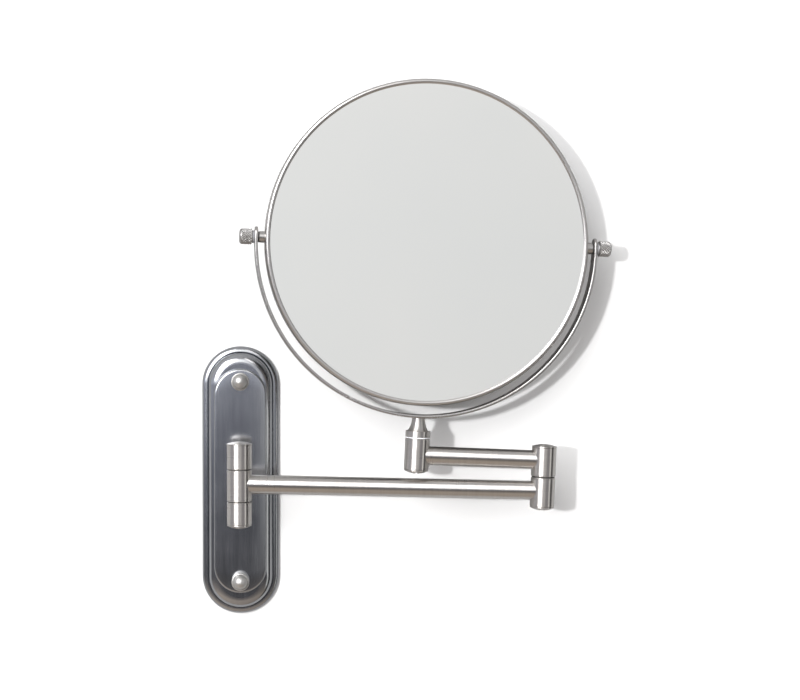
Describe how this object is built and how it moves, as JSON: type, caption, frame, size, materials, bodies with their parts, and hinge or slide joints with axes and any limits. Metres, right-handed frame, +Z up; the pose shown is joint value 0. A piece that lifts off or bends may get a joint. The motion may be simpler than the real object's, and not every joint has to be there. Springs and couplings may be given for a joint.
{
  "type": "extendable shaving mirror",
  "caption": "Wall-mounted round mirror, plain on one side and magnifying on the other, in a tilting yoke on a folding two-part swing arm with an oval wall plate.",
  "frame": {"origin": "centre of the wall plate's back, on the wall face", "axes": "+X along the long arm at rest, -Y away from the wall towards the user, +Z up"},
  "size_m": [0.2584, 0.0544, 0.3379],
  "materials": {
    "satin_steel": "satin, fine brushing along the tubes",
    "plate_steel": "satin, fine vertical brushing",
    "nut_steel": "soft satin",
    "rim_steel": "satin, brushed round the rim",
    "yoke_steel": "satin, brushed along the strip",
    "knurled_steel": "knurled, satin",
    "zinc_steel": "zinc plated",
    "dark_washer": "matt",
    "pale_washer": "smooth, translucent white",
    "bush_plastic": "smooth",
    "mirror_glass": "polished",
    "backing_board": "plain board"
  },
  "bodies": {
    "wall_mount": {"back_plate": "plate_steel", "wall_strap": "zinc_steel", "mounting_studs": "zinc_steel", "cap_nuts": "nut_steel", "upper_knuckle": "satin_steel", "lower_knuckle": "satin_steel", "backing_bar": "zinc_steel", "knuckle_screws": "zinc_steel", "wall_hinge_pin": "satin_steel", "wall_hinge_screw": "satin_steel", "wall_hinge_washers": "dark_washer"},
    "arm_1": {"arm_1_knuckle": "satin_steel", "arm_1_bush": "bush_plastic", "arm_1_tube": "satin_steel", "elbow_lower_sleeve": "satin_steel", "elbow_bush": "bush_plastic"},
    "arm_2": {"elbow_upper_sleeve": "satin_steel", "elbow_pin": "satin_steel", "elbow_washer": "dark_washer", "elbow_screw": "satin_steel", "arm_2_tube": "satin_steel", "post_sleeve": "satin_steel", "post_bush": "bush_plastic"},
    "yoke": {"yoke_stem": "satin_steel", "post_washer": "pale_washer", "post_screw": "satin_steel", "yoke_strip": "yoke_steel", "inner_ear_washers": "dark_washer", "outer_ear_washers": "dark_washer"},
    "mirror": {"mirror_rim": "rim_steel", "front_glass": "mirror_glass", "back_glass": "mirror_glass", "core_disc": "backing_board", "left_stud": "satin_steel", "right_stud": "satin_steel"},
    "left_knob": {"left_knob": "knurled_steel"},
    "right_knob": {"right_knob": "knurled_steel"}
  },
  "joints": [
    {"name": "wall_swing", "type": "hinge", "parent": "wall_mount", "child": "arm_1", "pos_m": [0, -0.041, 0], "axis": [0, 0, 1], "range_deg": [-180, 0]},
    {"name": "elbow", "type": "hinge", "parent": "arm_1", "child": "arm_2", "pos_m": [0.18979, -0.041, 0.0043], "axis": [0.0419, 0, 0.9991], "continuous": true},
    {"name": "post_swivel", "type": "hinge", "parent": "arm_2", "child": "yoke", "pos_m": [0.1103, -0.041, 0.01824], "axis": [0.0506, 0, 0.9987], "continuous": true},
    {"name": "mirror_tilt", "type": "hinge", "parent": "yoke", "child": "mirror", "pos_m": [0.11701, -0.041, 0.15067], "axis": [0.9971, 0.0697, -0.0295], "continuous": true},
    {"name": "left_knob_turn", "type": "hinge", "parent": "mirror", "child": "left_knob", "pos_m": [0.00433, -0.04888, 0.15401], "axis": [-0.9971, -0.0697, 0.0295], "range_deg": [0, 360]},
    {"name": "right_knob_turn", "type": "hinge", "parent": "mirror", "child": "right_knob", "pos_m": [0.22968, -0.03312, 0.14733], "axis": [0.9971, 0.0697, -0.0295], "range_deg": [0, 360]}
  ]
}
